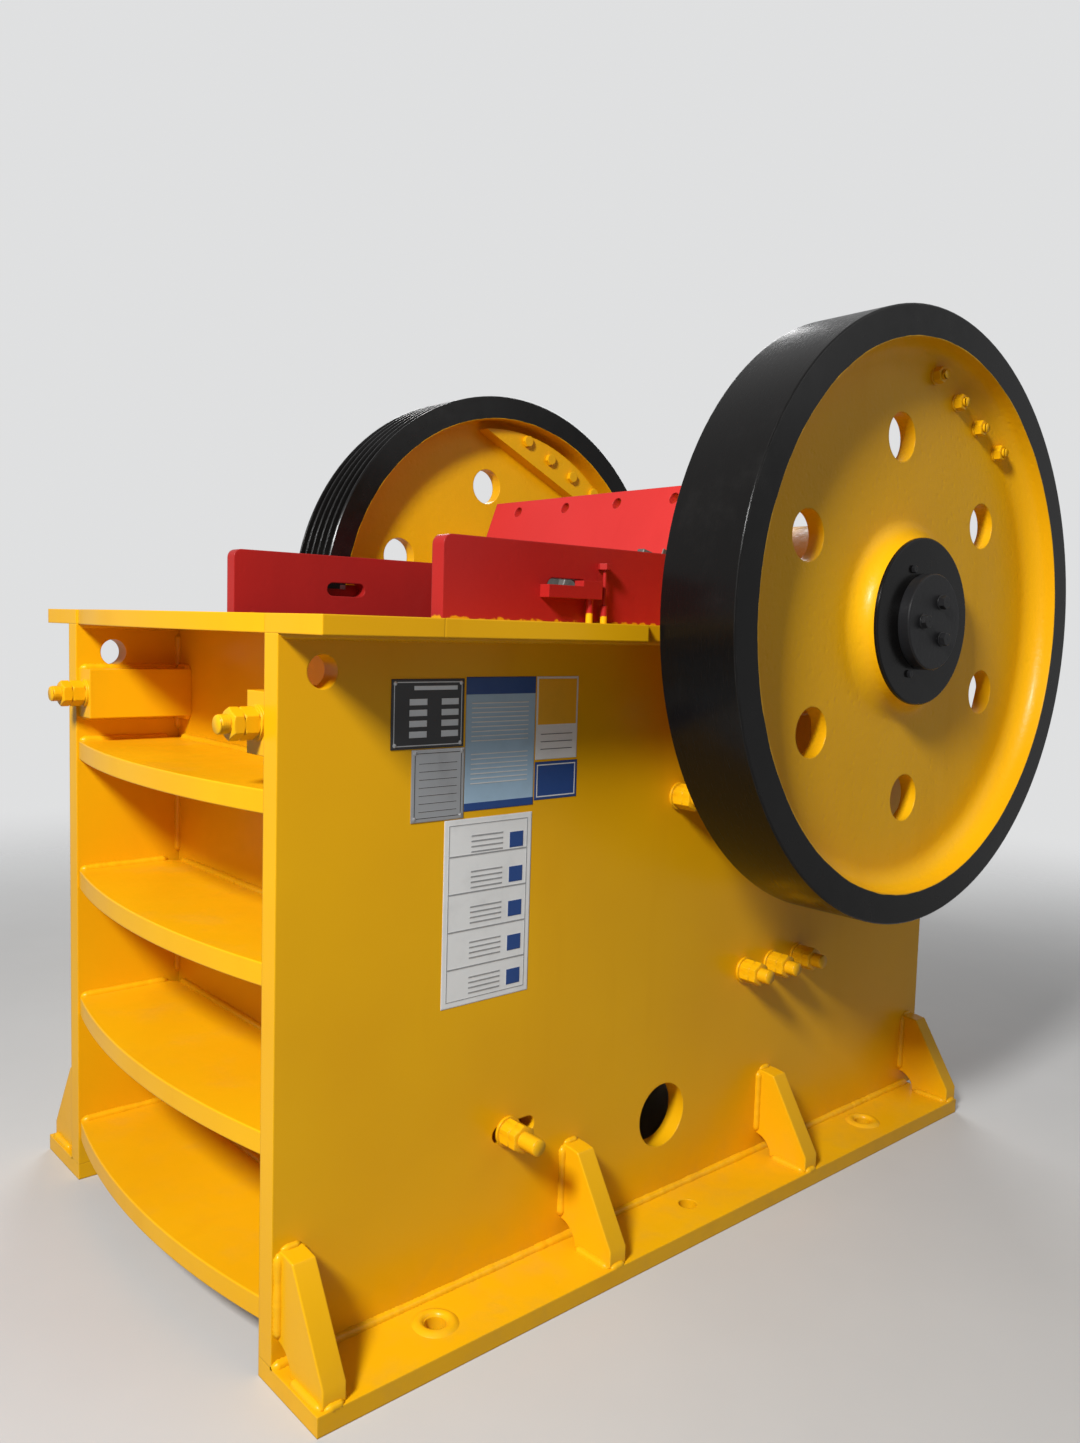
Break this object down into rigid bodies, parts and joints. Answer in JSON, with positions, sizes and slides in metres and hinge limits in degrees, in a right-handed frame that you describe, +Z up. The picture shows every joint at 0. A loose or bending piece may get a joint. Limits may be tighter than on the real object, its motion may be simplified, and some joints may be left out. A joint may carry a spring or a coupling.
{
  "type": "jaw crusher",
  "caption": "Stone-breaking jaw crusher: a welded plate frame with a swinging jaw on an eccentric shaft between two heavy flywheels, ready to bolt down on a foundation.",
  "frame": {"origin": "middle of the footprint's bounding box at floor level, under the foot flanges", "axes": "+X from the fixed jaw end to the rear, +Y across to the side with the grooved flywheel, +Z up"},
  "size_m": [2.397, 1.85, 2.244],
  "materials": {
    "frame_enamel": "semi-gloss golden-yellow enamel over welded plate, thin at the edges, dusty low down",
    "wheel_enamel": "yellow enamel on the cast web and boss, black enamel on the rim",
    "black_enamel": "black semi-gloss enamel with dust",
    "cheek_enamel": "dark red enamel on cast cheek plates",
    "guard_enamel": "red enamel on the guard plate",
    "manganese_steel": "as-cast manganese steel, dark and slightly grainy",
    "cast_grey": "as-cast grey iron with an oily film",
    "bare_steel": "turned steel, greased"
  },
  "bodies": {
    "frame": {"side_plate_near": "frame_enamel", "side_plate_far": "frame_enamel", "top_front_plate": "frame_enamel", "top_flange_near": "frame_enamel", "top_flange_far": "frame_enamel", "foot_flange_near": "frame_enamel", "foot_flange_far": "frame_enamel", "gussets_near": "frame_enamel", "gussets_far": "frame_enamel", "front_wall": "frame_enamel", "front_rib_1": "frame_enamel", "front_rib_2": "frame_enamel", "front_rib_3": "frame_enamel", "front_rib_4": "frame_enamel", "corner_boxes": "frame_enamel", "fixed_jaw_plate": "manganese_steel", "cheek_plate_near": "cheek_enamel", "cheek_plate_far": "cheek_enamel", "cheek_clamps": "cheek_enamel", "rear_wall": "frame_enamel", "rear_ribs": "frame_enamel", "toggle_block": "frame_enamel", "toggle_shims": "bare_steel", "toggle_plate": "cast_grey", "bearing_seats": "frame_enamel", "bearing_caps": "frame_enamel", "bearings": "cast_grey", "frame_bolts": "frame_enamel"},
    "shaft": {"eccentric_shaft": "bare_steel", "wheel_near_rim": "wheel_enamel", "wheel_near_web": "wheel_enamel", "wheel_near_hub": "wheel_enamel", "wheel_far_rim": "wheel_enamel", "wheel_far_web": "wheel_enamel", "wheel_far_hub": "wheel_enamel", "counterweights": "wheel_enamel", "shaft_end_plates": "black_enamel"},
    "jaw": {"swing_jaw_front": "frame_enamel", "swing_jaw_head": "frame_enamel", "swing_jaw_ribs": "frame_enamel", "swing_jaw_foot": "frame_enamel", "swing_jaw_plate": "manganese_steel", "guard_plate": "guard_enamel", "tension_rod": "bare_steel", "tension_spring": "bare_steel"}
  },
  "joints": [
    {"name": "shaft_spin", "type": "hinge", "parent": "frame", "child": "shaft", "pos_m": [0.4485, 0, 1.494], "axis": [0, 1, 0], "continuous": true},
    {"name": "jaw_swing", "type": "hinge", "parent": "shaft", "child": "jaw", "pos_m": [0.44047, 0, 1.47678], "axis": [0, 1, 0], "continuous": true}
  ],
  "couplings": [
    {"joint": "jaw_swing", "follows": "shaft_spin", "ratio": -1}
  ]
}
